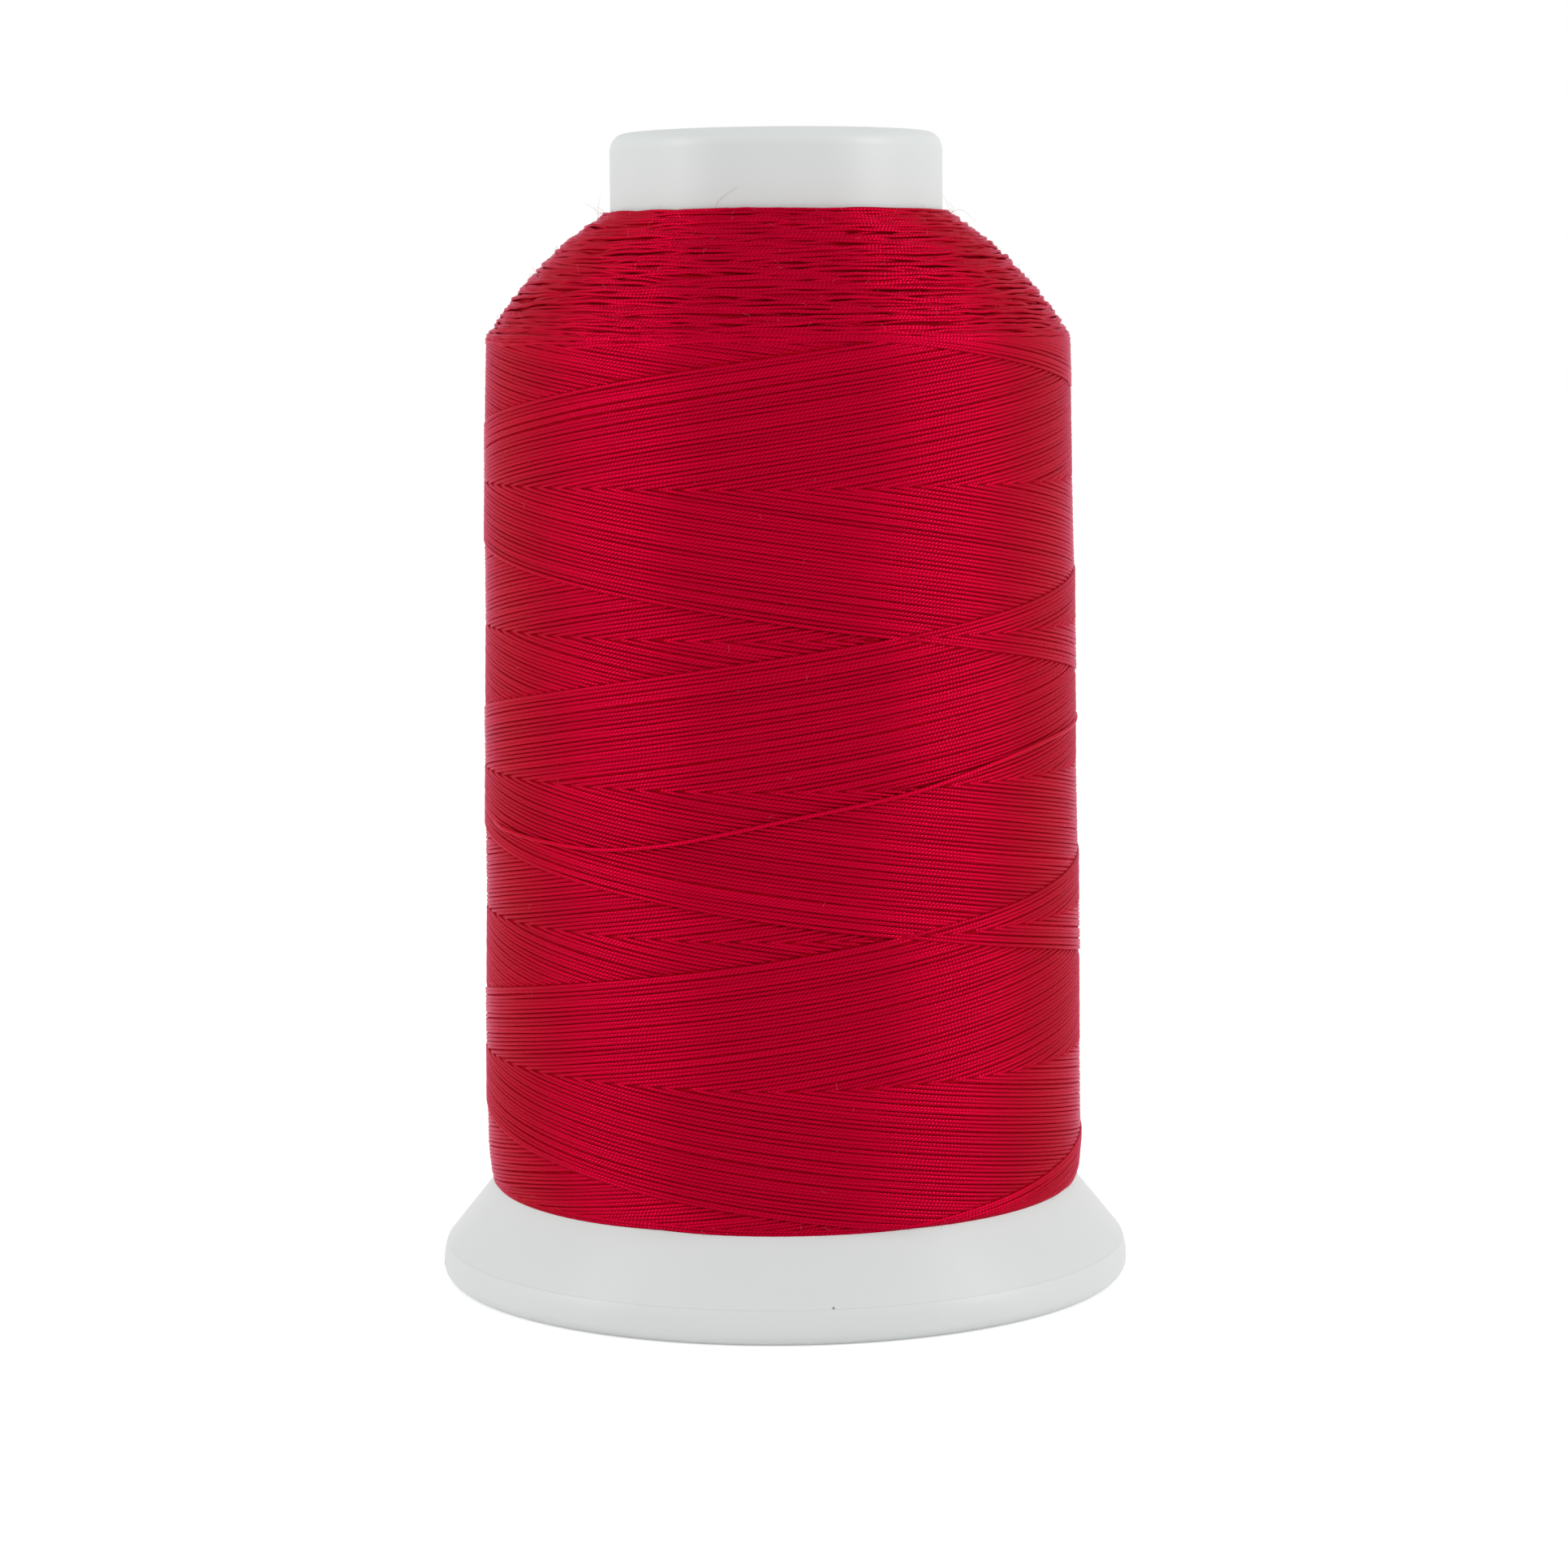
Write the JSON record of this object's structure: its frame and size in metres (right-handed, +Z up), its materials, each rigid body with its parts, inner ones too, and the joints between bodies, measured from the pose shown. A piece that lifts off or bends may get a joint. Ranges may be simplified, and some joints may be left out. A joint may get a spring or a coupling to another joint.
{
  "type": "spool of sewing thread",
  "caption": "Cross-wound spool of cotton sewing thread on a hollow white plastic barrel with a flared base and a pull-down snap foot that pinches the thread's end.",
  "frame": {"origin": "middle of the footprint, on the surface that the foot stands on", "axes": "+Z up along the bore's axis, towards the collar; +X to the right and -Y towards the viewer of the picture"},
  "size_m": [0.0426, 0.0426, 0.0699],
  "materials": {
    "barrel_plastic": "satin moulded white",
    "foot_plastic": "satin moulded white",
    "wound_thread": "three-ply cotton, crimson",
    "surface_thread": "three-ply cotton, crimson"
  },
  "bodies": {
    "spool": {"spool_barrel": "barrel_plastic", "thread_core": "wound_thread", "thread_outer_layer": "surface_thread"},
    "foot": {"snap_foot": "foot_plastic"}
  },
  "joints": [
    {"name": "spool_lift", "type": "slide", "parent": "foot", "child": "spool", "axis": [0, 0, 1], "range_m": [0, 0.002]}
  ]
}
